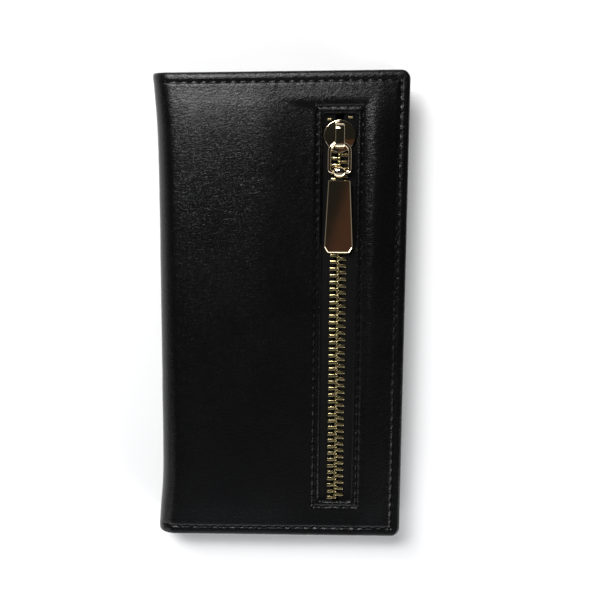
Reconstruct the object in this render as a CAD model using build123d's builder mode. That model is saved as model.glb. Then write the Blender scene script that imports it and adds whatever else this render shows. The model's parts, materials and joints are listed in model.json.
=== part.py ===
from build123d import *
import os
from math import cos, pi, radians, sin

os.makedirs("parts", exist_ok=True)

# A long wallet that folds like a book along one long side, lying closed on its back cover.
# X runs from the fold to the free edge, Y along the fold, Z up. Millimetres.

# Overall size, closed
width = 100.0
length = 190.0
thickness = 20.0
fold_radius = 8.0
free_corner = 3.0
split_gap = 0.4

# Covers, from the outside in
leather = 1.2
hem = 1.0
hem_width = 9.0
board = 0.6
lining = 0.4

# Pockets
pocket_rim = 3.0
bill_gap = 0.6
bill_sheet = 0.8
leaf_gap = 0.2
leaf_sheet = 0.45
mouth_step = 11.0

# Coin pocket between the front cover and the front inner panel
bag_wall = 0.4
bag_depth = 6.35
bag_mouth_margin = 2.5
panel_wall = 1.0
panel_sheet = 0.5

# Seams
seam_inset = 3.75
thread = 0.6
groove = 0.35
thread_sink = 0.05

# Zip, along Y in a window of the front cover
zip_x = 22.8
window_width = 14.4
window_top = 79.0
window_bottom = -80.2
window_corner = 1.5
window_seam = 2.2
tape = 0.5
tape_bead = 1.6
tape_edge = 13.0
tape_half_length = 84.0
tooth_pitch = 2.74
tooth_thick = 1.2
tooth_high = 2.4
tooth_root = 3.35
tooth_head = -0.65
first_tooth = -78.3
last_tooth = 76.2

# Slider and its pull
slider_y = 70.15
slider_radius = 6.35
slider_tail_half = 3.4
slider_plate = 1.15
slider_rim = 0.6
slider_rim_deep = 0.9
slider_clear = 0.25
divider_start = 1.55
divider_half_width = 1.0
bridge_width = 3.6
bridge_strap = 0.95
bridge_front = 75.7
bridge_back = 65.5
bridge_foot = 0.8
bridge_corner = 1.7
pull_tilt = 1.5
pivot_y = 67.3
link_wire = 1.4
link_width = 9.4
link_reach = 10.9
link_shoulder = 2.1
link_corner = 1.2
knuckle_width = 3.15
knuckle_radius = 1.7
knuckle_clear = 0.15
plate_top_width = 8.7
plate_foot_width = 11.3
plate_thick = 1.5
plate_near = 3.3
plate_far = 32.0
plate_cut_wide = 1.4
plate_cut_long = 2.4
plate_bevel = 0.3

# Places worked out from the sizes above
fold_x = -width / 2
free_x = width / 2
flat_x = fold_x + fold_radius
half_length = length / 2
split_angle = 45.0
split_half_angle = (split_gap / 2) / fold_radius * 180 / pi
pocket_start = flat_x + 1.0
pocket_edge = free_x - 1.5
pocket_half = half_length - 1.5
zip_z = thickness - leather - 0.3
tooth_low = zip_z - tooth_high / 2
tooth_top = zip_z + tooth_high / 2


def span(x_low, x_high, y_low, y_high, mode=Mode.ADD):
    """A rectangle between two corners, in the sketch that is being drawn."""
    with Locations(((x_low + x_high) / 2, (y_low + y_high) / 2)):
        Rectangle(x_high - x_low, y_high - y_low, mode=mode)


def sheet_piece(x_low, x_high, half_y, z_low, z_high):
    """A flat rectangular sheet."""
    with BuildPart() as piece:
        with BuildSketch(Plane.XY.offset(z_low)):
            span(x_low, x_high, -half_y, half_y)
        extrude(amount=z_high - z_low)
    return piece


def fold_band(depth, thick, low_angle, high_angle, centre_z):
    """A curved strip of the spine's corner, between two angles about its centre."""
    outer = fold_radius - depth
    inner = outer - thick
    with BuildPart() as piece:
        with BuildSketch(Plane.XZ):
            with BuildLine():
                far = CenterArc((flat_x, centre_z), outer, low_angle, high_angle - low_angle)
                near = CenterArc((flat_x, centre_z), inner, low_angle, high_angle - low_angle)
                Line(far @ 0, near @ 0)
                Line(far @ 1, near @ 1)
            make_face()
        extrude(amount=half_length, both=True)
    return piece


def edge_seam(outer_z, inward, depth_start, depth_end, thread_width):
    """The seam along the two ends and the free edge of a cover, as one flat strip."""
    with BuildPart() as piece:
        with BuildSketch(Plane.XY.offset(outer_z + inward * depth_start)):
            reach = thread_width / 2
            side = free_x - seam_inset
            end = half_length - seam_inset
            span(pocket_start, side + reach, -end - reach, end + reach)
            span(pocket_start, side - reach, -end + reach, end - reach, mode=Mode.SUBTRACT)
        extrude(amount=inward * (depth_end - depth_start))
    return piece


def window_seam_strip(depth_start, depth_end, thread_width):
    """The seam that runs round the zip window."""
    reach = window_seam
    half = window_width / 2 + reach
    outside = thread_width / 2
    with BuildPart() as piece:
        with BuildSketch(Plane.XY.offset(thickness - depth_start)):
            for grow, mode in ((outside, Mode.ADD), (-outside, Mode.SUBTRACT)):
                span(
                    zip_x - half - grow,
                    zip_x + half + grow,
                    window_bottom - reach - grow,
                    window_top + reach + grow,
                    mode=mode,
                )
        extrude(amount=depth_start - depth_end)
    return piece


def window_cut(z_low, z_high, grow):
    """The block that is cut away for the zip window."""
    with BuildPart() as piece:
        with BuildSketch(Plane.XY.offset(z_low)) as opening:
            half = window_width / 2 + grow
            span(zip_x - half, zip_x + half, window_bottom - grow, window_top + grow)
            fillet(opening.vertices(), radius=window_corner)
        extrude(amount=z_high - z_low)
    return piece


def cover_leather(outer_z, inward):
    """A cover's leather: the outer sheet, its turned hem and its half of the spine's corner."""
    with BuildPart() as piece:
        with BuildSketch(Plane.XY.offset(outer_z)) as outside:
            span(flat_x, free_x, -half_length, half_length)
            fillet(outside.vertices().group_by(Axis.X)[-1], radius=free_corner)
        extrude(amount=inward * leather)
        with BuildSketch(Plane.XY.offset(outer_z + inward * leather)) as turned:
            span(flat_x, free_x, -half_length, half_length)
            fillet(turned.vertices().group_by(Axis.X)[-1], radius=free_corner)
            inner_half = half_length - hem_width
            span(flat_x, free_x - hem_width, -inner_half, inner_half, mode=Mode.SUBTRACT)
        extrude(amount=inward * hem)
        middle = 180 + inward * split_angle
        start = middle + inward * split_half_angle
        end = 180 + inward * 90
        centre_z = outer_z + inward * fold_radius
        add(fold_band(0, leather, min(start, end), max(start, end), centre_z).part)
        add(edge_seam(outer_z, inward, 0, groove, thread).part, mode=Mode.SUBTRACT)
    return piece


def spine_band(depth, thick):
    """The spine: two corner strips joined by a flat strip."""
    low = 180 + split_angle - split_half_angle
    high = 180 - split_angle + split_half_angle
    with BuildPart() as piece:
        with BuildSketch(Plane.XY.offset(fold_radius)):
            span(fold_x + depth, fold_x + depth + thick, -half_length, half_length)
        extrude(amount=thickness - 2 * fold_radius)
        add(fold_band(depth, thick, 180, low, fold_radius).part)
        add(fold_band(depth, thick, high, 180, thickness - fold_radius).part)
    return piece


def pocket(mouth_x, base_z, inward, gap, sheet, columns):
    """A sheet held off its backing by a sewn rim on three sides, open towards the fold."""
    clear = (2 * pocket_half - (columns + 1) * pocket_rim) / columns
    with BuildPart() as piece:
        with BuildSketch(Plane.XY.offset(base_z)):
            span(mouth_x, pocket_edge, -pocket_half, pocket_half)
            for column in range(columns):
                low = -pocket_half + pocket_rim + column * (clear + pocket_rim)
                span(mouth_x, pocket_edge - pocket_rim, low, low + clear, mode=Mode.SUBTRACT)
        extrude(amount=inward * gap)
        with BuildSketch(Plane.XY.offset(base_z + inward * gap)):
            span(mouth_x, pocket_edge, -pocket_half, pocket_half)
        extrude(amount=inward * sheet)
    return piece


def column_seam(mouth_x, low_z):
    """The seam down the middle of the card leaves, between the two columns of slots."""
    with BuildPart() as piece:
        with BuildSketch(Plane.XY.offset(low_z)):
            span(mouth_x + 1, pocket_edge - 2, -thread / 2, thread / 2)
        extrude(amount=0.2)
    return piece


# ---------------------------------------------------------------- back half

back_cover_leather = cover_leather(0, 1)
back_cover_leather.part.label = "back_cover_leather"
export_step(back_cover_leather.part, "parts/back_cover_leather.step")

back_edge_stitching = edge_seam(0, 1, thread_sink, groove, thread)
back_edge_stitching.part.label = "back_edge_stitching"
export_step(back_edge_stitching.part, "parts/back_edge_stitching.step")

board_edge = free_x - hem_width
board_half = half_length - hem_width
back_cover_board = sheet_piece(flat_x, board_edge, board_half, leather, leather + board)
back_cover_board.part.label = "back_cover_board"
export_step(back_cover_board.part, "parts/back_cover_board.step")

back_inside = leather + hem
back_cover_padding = sheet_piece(flat_x, board_edge, board_half, leather + board, back_inside)
back_cover_padding.part.label = "back_cover_padding"
export_step(back_cover_padding.part, "parts/back_cover_padding.step")

back_lining_top = back_inside + lining
back_lining = sheet_piece(flat_x, pocket_edge, pocket_half, back_inside, back_lining_top)
back_lining.part.label = "back_lining"
export_step(back_lining.part, "parts/back_lining.step")

back_bill_pocket = pocket(pocket_start, back_lining_top, 1, bill_gap, bill_sheet, 1)
back_bill_pocket.part.label = "back_bill_pocket"
export_step(back_bill_pocket.part, "parts/back_bill_pocket.step")

leaf_pitch = leaf_gap + leaf_sheet
back_leaves = 4
back_leaf_base = back_lining_top + bill_gap + bill_sheet
for row in range(back_leaves):
    leaf_mouth = pocket_start + (row + 1) * mouth_step
    leaf_z = back_leaf_base + row * leaf_pitch
    leaf = pocket(leaf_mouth, leaf_z, 1, leaf_gap, leaf_sheet, 2)
    leaf.part.label = f"back_card_slot_{row + 1}"
    export_step(leaf.part, f"parts/back_card_slot_{row + 1}.step")

back_top = back_leaf_base + back_leaves * leaf_pitch
back_column_stitching = column_seam(pocket_start + back_leaves * mouth_step, back_top)
back_column_stitching.part.label = "back_column_stitching"
export_step(back_column_stitching.part, "parts/back_column_stitching.step")

# ---------------------------------------------------------------- spine

spine_leather = spine_band(0, leather)
spine_leather.part.label = "spine_leather"
export_step(spine_leather.part, "parts/spine_leather.step")

spine_lining = spine_band(leather, lining)
spine_lining.part.label = "spine_lining"
export_step(spine_lining.part, "parts/spine_lining.step")

# ---------------------------------------------------------------- front half

with BuildPart() as front_cover_leather:
    add(cover_leather(thickness, -1).part)
    add(window_cut(thickness - leather, thickness, 0).part, mode=Mode.SUBTRACT)
    add(window_seam_strip(0, groove, thread).part, mode=Mode.SUBTRACT)
front_cover_leather.part.label = "front_cover_leather"
export_step(front_cover_leather.part, "parts/front_cover_leather.step")

front_edge_stitching = edge_seam(thickness, -1, thread_sink, groove, thread)
front_edge_stitching.part.label = "front_edge_stitching"
export_step(front_edge_stitching.part, "parts/front_edge_stitching.step")

zip_window_stitching = window_seam_strip(thread_sink, groove, thread)
zip_window_stitching.part.label = "zip_window_stitching"
export_step(zip_window_stitching.part, "parts/zip_window_stitching.step")

board_low = thickness - leather - board
with BuildPart() as front_cover_board:
    add(sheet_piece(flat_x, board_edge, board_half, board_low, thickness - leather).part)
    with BuildSketch(Plane.XY.offset(board_low)):
        hole_half = tape_edge + 0.2
        hole_end = tape_half_length + 0.2
        span(zip_x - hole_half, zip_x + hole_half, -hole_end, hole_end)
    extrude(amount=board, mode=Mode.SUBTRACT)
front_cover_board.part.label = "front_cover_board"
export_step(front_cover_board.part, "parts/front_cover_board.step")

bag_top = board_low - 0.05
bag_floor = bag_top - bag_wall - bag_depth
bag_low = bag_floor - bag_wall
bag_start = flat_x + 2
bag_edge = board_edge - 0.5
bag_half = half_length - hem_width - 1
with BuildPart() as coin_pocket_bag:
    with BuildSketch(Plane.XY.offset(bag_low)):
        span(bag_start, bag_edge, -bag_half, bag_half)
    extrude(amount=bag_top - bag_low)
    with BuildSketch(Plane.XY.offset(bag_floor)):
        span(bag_start + bag_wall, bag_edge - bag_wall, bag_wall - bag_half, bag_half - bag_wall)
    extrude(amount=bag_depth, mode=Mode.SUBTRACT)
    with BuildSketch(Plane.XY.offset(bag_top - bag_wall)):
        mouth_half = window_width / 2
        low = window_bottom - bag_mouth_margin
        span(zip_x - mouth_half, zip_x + mouth_half, low, window_top)
    extrude(amount=bag_wall, mode=Mode.SUBTRACT)
coin_pocket_bag.part.label = "coin_pocket_bag"
export_step(coin_pocket_bag.part, "parts/coin_pocket_bag.step")

# The leather panel that closes the coin pocket on the inside: a shallow tray round the bag.
panel_low = bag_low - panel_sheet
panel_top = thickness - leather - hem
with BuildPart() as front_inner_panel:
    with BuildSketch(Plane.XY.offset(panel_low)):
        span(flat_x, pocket_edge, -pocket_half, pocket_half)
    extrude(amount=panel_top - panel_low)
    with BuildSketch(Plane.XY.offset(bag_low)):
        hollow_half = pocket_half - panel_wall
        span(flat_x + panel_wall, pocket_edge - panel_wall, -hollow_half, hollow_half)
    extrude(amount=panel_top - bag_low, mode=Mode.SUBTRACT)
front_inner_panel.part.label = "front_inner_panel"
export_step(front_inner_panel.part, "parts/front_inner_panel.step")

front_bill_pocket = pocket(pocket_start, panel_low, -1, bill_gap, bill_sheet, 1)
front_bill_pocket.part.label = "front_bill_pocket"
export_step(front_bill_pocket.part, "parts/front_bill_pocket.step")

front_leaves = 2
front_leaf_base = panel_low - bill_gap - bill_sheet
for row in range(front_leaves):
    leaf_mouth = pocket_start + (row + 1) * mouth_step
    leaf_z = front_leaf_base - row * leaf_pitch
    leaf = pocket(leaf_mouth, leaf_z, -1, leaf_gap, leaf_sheet, 2)
    leaf.part.label = f"front_card_slot_{row + 1}"
    export_step(leaf.part, f"parts/front_card_slot_{row + 1}.step")

front_low = front_leaf_base - front_leaves * leaf_pitch
front_seam_x = pocket_start + front_leaves * mouth_step
front_column_stitching = column_seam(front_seam_x, front_low - 0.2)
front_column_stitching.part.label = "front_column_stitching"
export_step(front_column_stitching.part, "parts/front_column_stitching.step")

# ---------------------------------------------------------------- zip

for side, name in ((-1, "zip_tape_left"), (1, "zip_tape_right")):
    inner = zip_x + side * tape_bead
    outer = zip_x + side * tape_edge
    with BuildPart() as zip_tape:
        with BuildSketch(Plane.XY.offset(zip_z - tape / 2)):
            span(min(inner, outer), max(inner, outer), -tape_half_length, tape_half_length)
        extrude(amount=tape)
    zip_tape.part.label = name
    export_step(zip_tape.part, f"parts/{name}.step")


def tooth_shift(y):
    """How far the teeth are pushed out from the closed chain, inside and above the slider."""
    start = slider_y - 4.05
    throat = slider_y + 1.85
    if y <= start:
        return 0.0
    ratio = min((y - start) / (throat - start), 1.0)
    return 1.85 * ratio * ratio * (3 - 2 * ratio) + max(y - throat, 0) * 0.12


tooth_count = int((last_tooth - first_tooth) / tooth_pitch)
tooth_long = tooth_root - tooth_head
for side, name in ((-1, "zip_teeth_left"), (1, "zip_teeth_right")):
    stagger = tooth_pitch / 2 if side > 0 else 0
    rows = [first_tooth + stagger + index * tooth_pitch for index in range(tooth_count)]
    reach = (tooth_root + tooth_head) / 2
    places = [(zip_x + side * (reach + tooth_shift(y)), y) for y in rows]
    slot = zip_x + side * tape_bead
    far = zip_x + side * tape_edge
    with BuildPart() as zip_teeth:
        with BuildSketch(Plane.XY.offset(tooth_low)):
            with Locations(places):
                Rectangle(tooth_long, tooth_thick)
        extrude(amount=tooth_high)
        with BuildSketch(Plane.XY.offset(zip_z - tape / 2)):
            span(min(slot, far), max(slot, far), -tape_half_length, tape_half_length)
        extrude(amount=tape, mode=Mode.SUBTRACT)
    zip_teeth.part.label = name
    export_step(zip_teeth.part, f"parts/{name}.step")

stop_y = last_tooth + 1.6
with BuildPart() as zip_top_stops:
    for side in (-1, 1):
        middle = zip_x + side * (tooth_shift(stop_y) + 2.4)
        with BuildSketch(Plane.XY.offset(zip_z + tape / 2)):
            span(middle - 1.1, middle + 1.1, stop_y - 0.6, stop_y + 0.6)
        extrude(amount=0.7)
zip_top_stops.part.label = "zip_top_stops"
export_step(zip_top_stops.part, "parts/zip_top_stops.step")

with BuildPart() as zip_bottom_stop:
    with BuildSketch(Plane.XZ.offset(-(first_tooth - 2.6))):
        span(zip_x - 2.8, zip_x + 2.8, tooth_low + 0.1, thickness - leather - 0.1)
        span(zip_x - 3, zip_x - tape_bead, zip_z - tape / 2, zip_z + tape / 2, Mode.SUBTRACT)
        span(zip_x + tape_bead, zip_x + 3, zip_z - tape / 2, zip_z + tape / 2, Mode.SUBTRACT)
    extrude(amount=0.8, both=True)
zip_bottom_stop.part.label = "zip_bottom_stop"
export_step(zip_bottom_stop.part, "parts/zip_bottom_stop.step")

# ---------------------------------------------------------------- slider

top_plate_z = tooth_top + slider_clear
bottom_plate_z = tooth_low - slider_clear - slider_plate
slider_top = top_plate_z + slider_plate


def slider_blank(base_z, height, inset):
    """A slab with the slider's outline: a disc that narrows a little towards its tail."""
    with BuildPart() as piece:
        with BuildSketch(Plane((zip_x, slider_y, base_z))):
            Circle(slider_radius - inset)
            with BuildLine():
                Polyline(
                    (8, 8),
                    (8, 1),
                    (slider_radius + 0.25 - inset, 1),
                    (slider_tail_half - inset, -slider_radius - 0.6),
                    (inset - slider_tail_half, -slider_radius - 0.6),
                    (inset - slider_radius - 0.25, 1),
                    (-8, 1),
                    (-8, 8),
                    close=True,
                )
            make_face(mode=Mode.INTERSECT)
        extrude(amount=height)
    return piece


def slider_rim_walls(base_z, height):
    """The side walls of a slider plate, open at the tail and at the nose for the teeth."""
    with BuildPart() as piece:
        add(slider_blank(base_z, height, 0).part)
        add(slider_blank(base_z, height, slider_rim).part, mode=Mode.SUBTRACT)
        with BuildSketch(Plane((zip_x, slider_y, base_z))):
            span(-3.8, 3.8, -slider_radius - 1, -2.5)
            span(-8, 8, 1.2, slider_radius + 1)
        extrude(amount=height, mode=Mode.SUBTRACT)
    return piece


with BuildPart() as zip_slider_body:
    add(slider_blank(top_plate_z, slider_plate, 0).part)
    add(slider_blank(bottom_plate_z, slider_plate, 0.4).part)
    add(slider_rim_walls(top_plate_z - slider_rim_deep, slider_rim_deep).part)
    add(slider_rim_walls(bottom_plate_z + slider_plate, slider_rim_deep).part)
    with BuildSketch(Plane((zip_x, slider_y, bottom_plate_z))):
        with BuildLine():
            Polyline(
                (0, divider_start),
                (divider_half_width, divider_start + 2.2),
                (divider_half_width / 2, divider_start + 4),
                (-divider_half_width / 2, divider_start + 4),
                (-divider_half_width, divider_start + 2.2),
                close=True,
            )
        make_face()
    extrude(amount=top_plate_z - bottom_plate_z)
zip_slider_body.part.label = "zip_slider_body"
export_step(zip_slider_body.part, "parts/zip_slider_body.step")

pivot_z = slider_top + 0.45 + link_wire / 2
bridge_inside = pivot_z + link_wire / 2 + slider_clear
bridge_top = bridge_inside + bridge_strap
with BuildPart() as zip_slider_bridge:
    with BuildSketch(Plane.YZ.offset(zip_x - bridge_width / 2)) as arch:
        span(bridge_back, bridge_front, slider_top, bridge_top)
        fillet(arch.vertices().group_by(Axis.Y)[-1], radius=bridge_corner)
        low = bridge_back + bridge_foot
        span(low, bridge_front - bridge_foot, slider_top, bridge_inside, mode=Mode.SUBTRACT)
    extrude(amount=bridge_width)
zip_slider_bridge.part.label = "zip_slider_bridge"
export_step(zip_slider_bridge.part, "parts/zip_slider_bridge.step")

# ---------------------------------------------------------------- pull

# The link and the plate hang in one gently sloping plane, so that the plate's foot lies low.
slope = radians(pull_tilt)
pull_plane = Plane(
    origin=(zip_x, pivot_y, pivot_z), x_dir=(1, 0, 0), z_dir=(0, -sin(slope), cos(slope))
)
ring_half = (link_width - link_wire) / 2

with BuildPart() as pull_link:
    with BuildLine(pull_plane) as ring:
        FilletPolyline(
            (-ring_half, -link_reach / 2),
            (-ring_half, 0),
            (ring_half, 0),
            (ring_half, -link_reach),
            (-ring_half, -link_reach),
            (-ring_half, -link_reach / 2 - 0.1),
            radius=[link_shoulder, link_shoulder, link_corner, link_corner],
        )
        Line(ring.line @ 1, ring.line @ 0)
    with BuildSketch(Plane(origin=ring.line @ 0, z_dir=ring.line % 0)):
        Circle(link_wire / 2)
    sweep()
pull_link.part.label = "pull_link"
export_step(pull_link.part, "parts/pull_link.step")

with BuildPart() as pull_plate:
    with BuildSketch(pull_plane.offset(-plate_thick / 2)):
        near = -(link_reach + plate_near)
        far = -(link_reach + plate_far)
        with BuildLine():
            Polyline(
                (-plate_top_width / 2, near),
                (plate_top_width / 2, near),
                (plate_foot_width / 2, far + plate_cut_long),
                (plate_foot_width / 2 - plate_cut_wide, far),
                (-plate_foot_width / 2 + plate_cut_wide, far),
                (-plate_foot_width / 2, far + plate_cut_long),
                close=True,
            )
        make_face()
    extrude(amount=plate_thick)
    upward = Axis((0, 0, 0), pull_plane.z_dir)
    chamfer(pull_plate.faces().sort_by(upward)[-1].edges(), length=plate_bevel)
    with BuildSketch(pull_plane.offset(-plate_thick / 2)):
        span(-knuckle_width / 2, knuckle_width / 2, near - 0.5, -link_reach)
    extrude(amount=plate_thick)
    eye_plane = Plane(pull_plane.from_local_coords((0, -link_reach, 0)), z_dir=(1, 0, 0))
    with BuildSketch(eye_plane):
        Circle(knuckle_radius)
    extrude(amount=knuckle_width / 2, both=True)
    with BuildSketch(eye_plane):
        Circle(link_wire / 2 + knuckle_clear)
    extrude(amount=knuckle_width / 2 + 1, both=True, mode=Mode.SUBTRACT)
pull_plate.part.label = "pull_plate"
export_step(pull_plate.part, "parts/pull_plate.step")
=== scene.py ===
# %% [markdown]
# # A long wallet in black leather, with a zipped coin pocket
#
# The real thing is a leather cover folded round a spine like a book. Two thin panels of card
# pockets are sewn inside it, and a metal zip is let into a window of the front cover. The frame
# that loads first holds every piece at its true size and place, and the places below are worked
# out from it. Lengths are thought out in millimetres, as a leather worker would, and turned into
# metres when a mesh is made.

import json
import math
import random

import bmesh
import bpy
import numpy as np
from mathutils import Matrix, Vector


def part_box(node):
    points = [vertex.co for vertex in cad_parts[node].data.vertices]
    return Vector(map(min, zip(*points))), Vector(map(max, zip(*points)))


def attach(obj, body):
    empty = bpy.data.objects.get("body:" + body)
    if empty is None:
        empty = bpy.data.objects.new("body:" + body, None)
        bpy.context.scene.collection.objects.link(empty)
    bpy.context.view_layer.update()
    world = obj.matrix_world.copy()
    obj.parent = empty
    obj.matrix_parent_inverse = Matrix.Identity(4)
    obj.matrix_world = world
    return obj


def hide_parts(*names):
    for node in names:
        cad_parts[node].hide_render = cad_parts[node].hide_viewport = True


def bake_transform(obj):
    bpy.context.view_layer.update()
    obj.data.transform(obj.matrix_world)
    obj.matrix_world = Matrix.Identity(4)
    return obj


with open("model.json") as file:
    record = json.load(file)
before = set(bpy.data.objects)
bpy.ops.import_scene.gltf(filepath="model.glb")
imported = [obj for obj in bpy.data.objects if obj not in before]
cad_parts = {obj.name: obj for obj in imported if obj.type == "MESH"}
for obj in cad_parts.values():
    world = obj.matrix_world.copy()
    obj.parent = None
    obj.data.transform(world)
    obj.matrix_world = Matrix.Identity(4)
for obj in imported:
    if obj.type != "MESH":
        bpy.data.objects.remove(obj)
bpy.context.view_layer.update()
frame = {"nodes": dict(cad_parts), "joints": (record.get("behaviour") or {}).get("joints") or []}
MM = 0.001


# %% Read the driving sizes from the frame
def box_mm(node):
    """A node's lowest and highest corners, in millimetres."""
    low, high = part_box(node)
    return np.round(np.array(low) / MM, 4), np.round(np.array(high) / MM, 4)


FREE_X, HALF, THICK = box_mm("front_cover_leather")[1]
FOLD_X = box_mm("spine_leather")[0][0]
board_low, board_high = box_mm("front_cover_board")
FLAT_X = board_low[0]
RADIUS = FLAT_X - FOLD_X
HEM = HALF - board_high[1]
LEATHER = THICK - board_high[2]
INSIDE = THICK - box_mm("front_inner_panel")[1][2]
THREAD = 0.6
SEAM_X, SEAM_Y = box_mm("front_edge_stitching")[1][:2] - THREAD / 2
window_low, window_high = box_mm("zip_window_stitching")
EDGE = 2.2 + THREAD / 2
WIN_X0, WIN_Y0 = window_low[:2] + EDGE
WIN_X1, WIN_Y1 = window_high[:2] - EDGE
ZIP_X = (WIN_X0 + WIN_X1) / 2
print("cover", FOLD_X, FREE_X, HALF, "thick", THICK, "window", WIN_X0, WIN_X1, WIN_Y0, WIN_Y1)

# %% [markdown]
# ## Floor, light and camera
#
# Black leather has almost no colour of its own. What the eye reads as leather is the soft
# reflection of the lights, so the lights are placed first. One wide soft box stands beyond the
# end where the zip's slider sits, and its reflection fades along the cover. Overhead stays dark,
# which keeps the middle of the cover deep black. A long lamp to the left lights the pale floor
# and throws the shadow to the right.


# %% Lights
MIDDLE = Vector((0, 0, 0.02))
DAYLIGHT = (0.90, 0.95, 1.0)


def area_light(name, place, size, power, colour=(1, 1, 1)):
    """A soft box at a place, turned towards the middle of the wallet. Metres and watts."""
    data = bpy.data.lights.new(name, "AREA")
    data.shape = "RECTANGLE"
    data.size, data.size_y = size
    data.energy = power
    data.color = colour
    lamp = bpy.data.objects.new(name, data)
    lamp.location = place
    lamp.rotation_euler = (MIDDLE - Vector(place)).to_track_quat("-Z", "Y").to_euler()
    bpy.context.scene.collection.objects.link(lamp)
    return lamp


area_light("key_box", (-0.2, 0.5, 0.95), (0.45, 0.2), 6.6)
area_light("wide_box", (-0.4, 0.6, 0.8), (0.42, 0.42), 6.2)
area_light("right_box", (0.9, -0.9, 0.45), (0.6, 0.6), 9.0)
area_light("near_box", (0.1, -1.3, 0.5), (1.4, 0.6), 4.4, DAYLIGHT)
area_light("front_panel", (0, -0.8, 1.0), (1.2, 0.9), 0.9, DAYLIGHT)
area_light("corner_box", (-0.9, -0.9, 0.45), (0.8, 0.6), 2.6)
# The pull's flat blade mirrors a small warm card that faces straight down.
warm_card = area_light("warm_card", (0.182, -0.165, 1.0), (0.3, 0.36), 0.014, (1.0, 0.38, 0.19))
warm_card.rotation_euler = (0, 0, math.radians(-17))

world = bpy.data.worlds.new("studio")
bpy.context.scene.world = world
world.use_nodes = True
sky = world.node_tree
sky.nodes["Background"].inputs["Color"].default_value = (1.0, 0.97, 0.93, 1)
direction = sky.nodes.new("ShaderNodeTexCoord")
direction_parts = sky.nodes.new("ShaderNodeSeparateXYZ")
horizon = sky.nodes.new("ShaderNodeMapRange")
for label, value in {"From Min": 0.12, "From Max": 0.5, "To Min": 0.55, "To Max": 0.014}.items():
    horizon.inputs[label].default_value = value
sky.links.new(direction.outputs["Generated"], direction_parts.inputs[0])
sky.links.new(direction_parts.outputs["Z"], horizon.inputs["Value"])
sky.links.new(horizon.outputs["Result"], sky.nodes["Background"].inputs["Strength"])
bpy.context.scene.view_settings.view_transform = "Standard"

# %% Camera
CAMERA_PLACE = Vector((12.6, 70.9, THICK + 397.0)) * MM
CAMERA_TARGET = Vector((7.73, 4.98, THICK)) * MM
CAMERA_ROLL = math.radians(0.46)
camera_data = bpy.data.cameras.new("camera")
camera_data.lens = 60
camera_data.sensor_width = 36
camera = bpy.data.objects.new("camera", camera_data)
camera.location = CAMERA_PLACE
forward = (CAMERA_TARGET - CAMERA_PLACE).normalized()
page_up = Vector((-math.sin(CAMERA_ROLL), math.cos(CAMERA_ROLL), 0))
right = forward.cross(page_up).normalized()
up = right.cross(forward)
camera.rotation_euler = Matrix((right, up, -forward)).transposed().to_euler()
bpy.context.scene.collection.objects.link(camera)
bpy.context.scene.camera = camera


# %% [markdown]
# ## Making meshes
#
# Every piece is made from a few repeated shapes: sheets with soft edges, rings of points that
# are joined into skins, and threads. A sheet is a grid in flat, cut-out coordinates. A place
# function then bends it to where it lies, the way a flat hide is cut first and folded after.
# The flat coordinates are kept as UVs in metres, so the grain has its true scale everywhere and
# doesn't stretch round the fold.


# %% Mesh helpers
def make_mesh(name, points, faces, flat=None, crisp=None):
    """A smooth mesh from millimetre points. flat gives each point's place on the cut sheet, and
    crisp the angle in degrees over which an edge stays sharp."""
    mesh = bpy.data.meshes.new(name)
    points = np.asarray(points, float) * MM
    mesh.from_pydata(points.tolist(), [], faces)
    flat = points[:, :2] if flat is None else np.asarray(flat, float) * MM
    layer = mesh.uv_layers.new(name="cut")
    loops = np.empty(len(mesh.loops), np.int32)
    mesh.loops.foreach_get("vertex_index", loops)
    layer.data.foreach_set("uv", flat[loops].astype(np.float32).ravel())
    working = bmesh.new()
    working.from_mesh(mesh)
    bmesh.ops.recalc_face_normals(working, faces=working.faces)
    working.to_mesh(mesh)
    working.free()
    mesh.shade_smooth()
    if crisp:
        mesh.set_sharp_from_angle(angle=math.radians(crisp))
    mesh.update()
    piece = bpy.data.objects.new(name, mesh)
    bpy.context.scene.collection.objects.link(piece)
    return piece


def ring_faces(first, second):
    """Quads between two closed rings of point numbers."""
    count = len(first)
    return [
        (first[i], first[(i + 1) % count], second[(i + 1) % count], second[i])
        for i in range(count)
    ]


def skin_faces(rings):
    """Quads between rings in a row, and a flat cap on the first and the last."""
    faces = [face for pair in zip(rings, rings[1:]) for face in ring_faces(*pair)]
    return faces + [tuple(reversed(rings[0])), tuple(rings[-1])]


def lines(low, high, step, dense=()):
    """Grid lines from low to high: a coarse step, and finer lines at each (place, reach, step)."""
    low, high = round(float(low), 4), round(float(high), 4)
    wanted = set(np.round(np.linspace(low, high, max(2, int((high - low) / step) + 1)), 4))
    for place, reach, fine in dense:
        near = {w for w in wanted if abs(w - place) < reach and w not in (low, high)}
        wanted -= near
        count = int(round(reach / fine))
        wanted |= {round(place + k * fine, 4) for k in range(-count, count + 1)}
    kept = sorted(w for w in wanted if low <= w <= high)
    out = [kept[0]]
    for value in kept[1:]:
        if value - out[-1] > 0.12:
            out.append(value)
    out[-1] = kept[-1]
    return np.array(out)


# %% A sheet with soft edges
def rounded(points, low, high, radius, sides):
    """Moves the grid points of the corner squares on to quarter discs, at the given sides."""
    x, y = points[:, 0].copy(), points[:, 1].copy()
    for sign_x, sign_y in sides:
        corner_x = (high if sign_x > 0 else low)[0] - sign_x * radius
        corner_y = (high if sign_y > 0 else low)[1] - sign_y * radius
        u = (x - corner_x) * sign_x / radius
        v = (y - corner_y) * sign_y / radius
        inside = (u > 0) & (v > 0)
        u, v = u[inside], v[inside]
        x[inside] = corner_x + sign_x * radius * u * np.sqrt(1 - v * v / 2)
        y[inside] = corner_y + sign_y * radius * v * np.sqrt(1 - u * u / 2)
    return np.stack([x, y], 1)


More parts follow.
